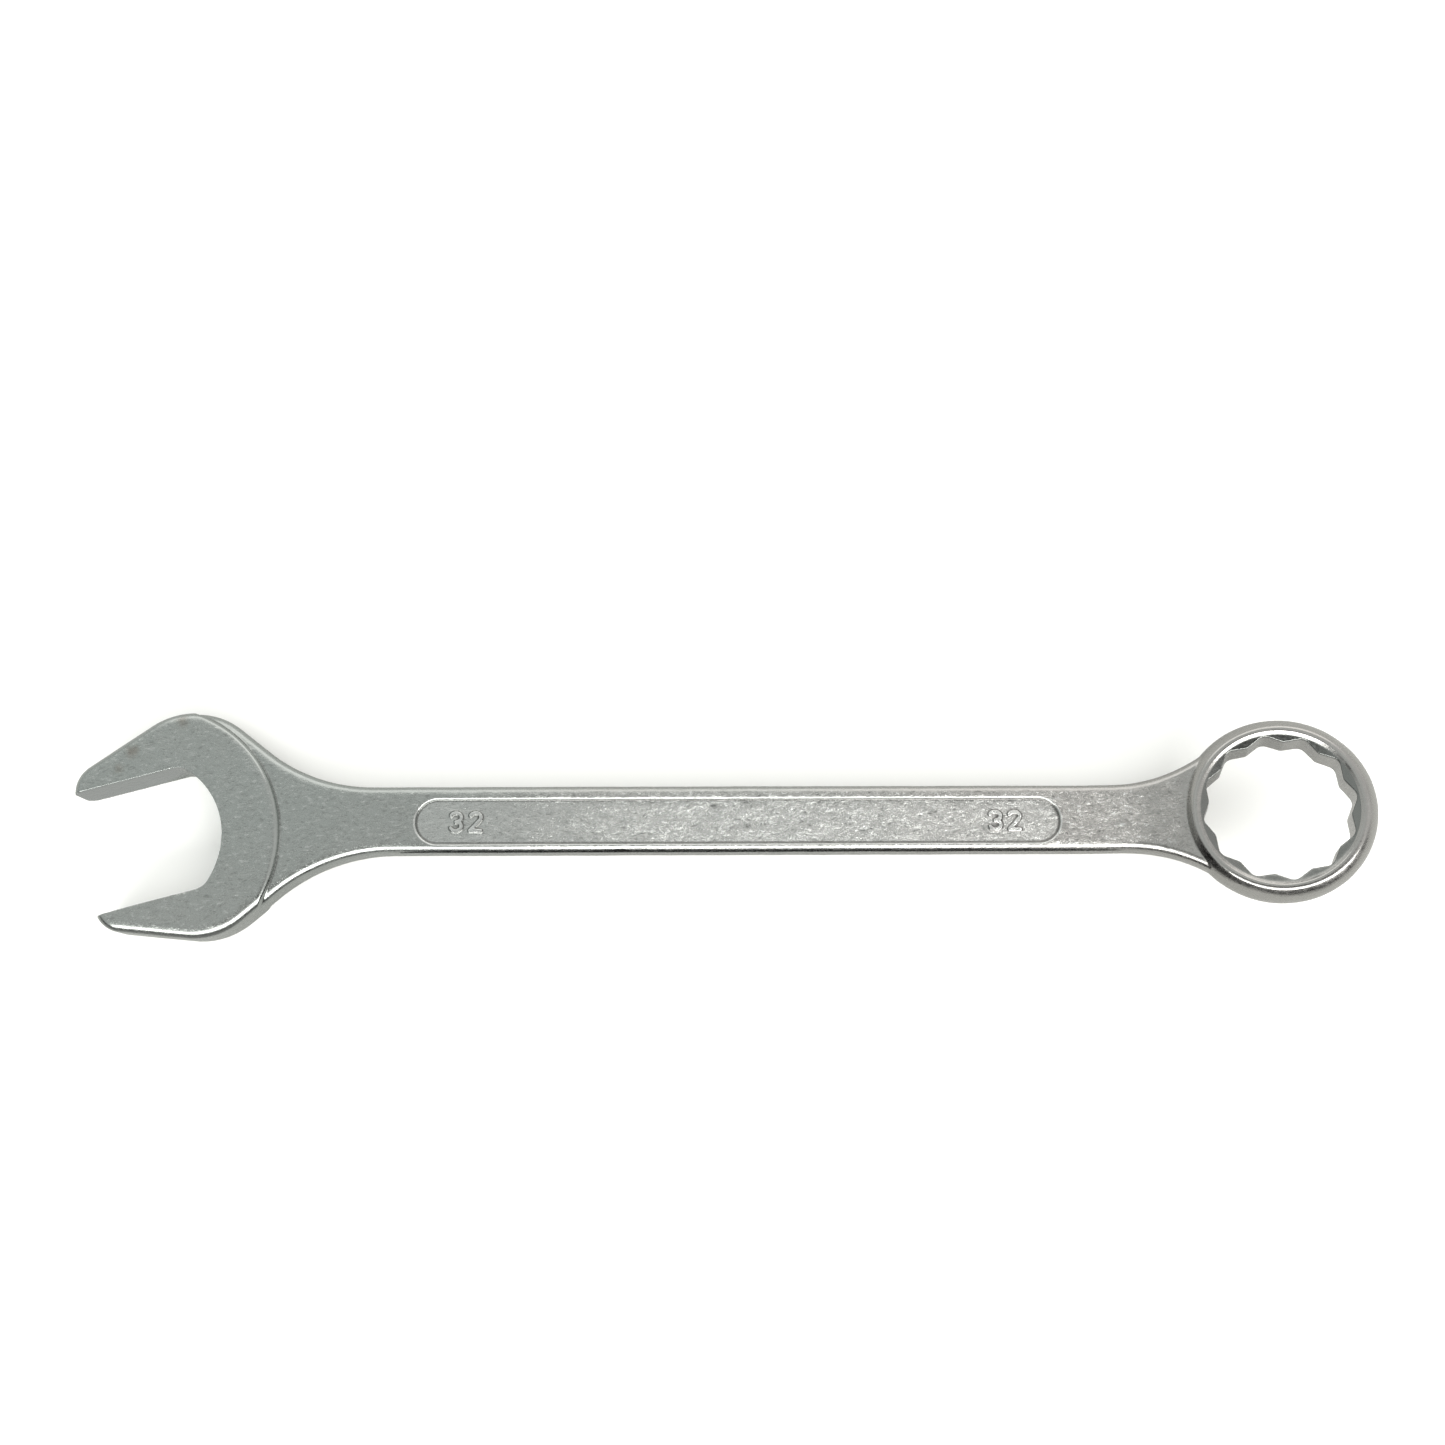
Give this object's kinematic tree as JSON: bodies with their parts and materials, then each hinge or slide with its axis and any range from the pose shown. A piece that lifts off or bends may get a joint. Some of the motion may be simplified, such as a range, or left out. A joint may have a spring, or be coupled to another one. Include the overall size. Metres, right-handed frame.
{
  "type": "combination wrench",
  "caption": "Combination wrench for one hexagon size: an open jaw angled to the shank at one end, a raised twelve-point ring at the other, and a flat shank with a recessed panel.",
  "frame": {"origin": "centre of the nut held in the open jaw, on the forging's parting plane halfway through the head's thickness", "axes": "+X along the shank from the open end to the ring; +Z out of the face the ring rises towards; +Y across the shank, towards the side that the jaw's axis leads away from"},
  "size_m": [0.329, 0.0585, 0.0299],
  "materials": {
    "plated_steel": "satin plated forging, lightly pitted, no lacquer"
  },
  "bodies": {
    "root": {"open_end_head": "plated_steel", "shank": "plated_steel", "ring_head": "plated_steel"}
  },
  "joints": []
}
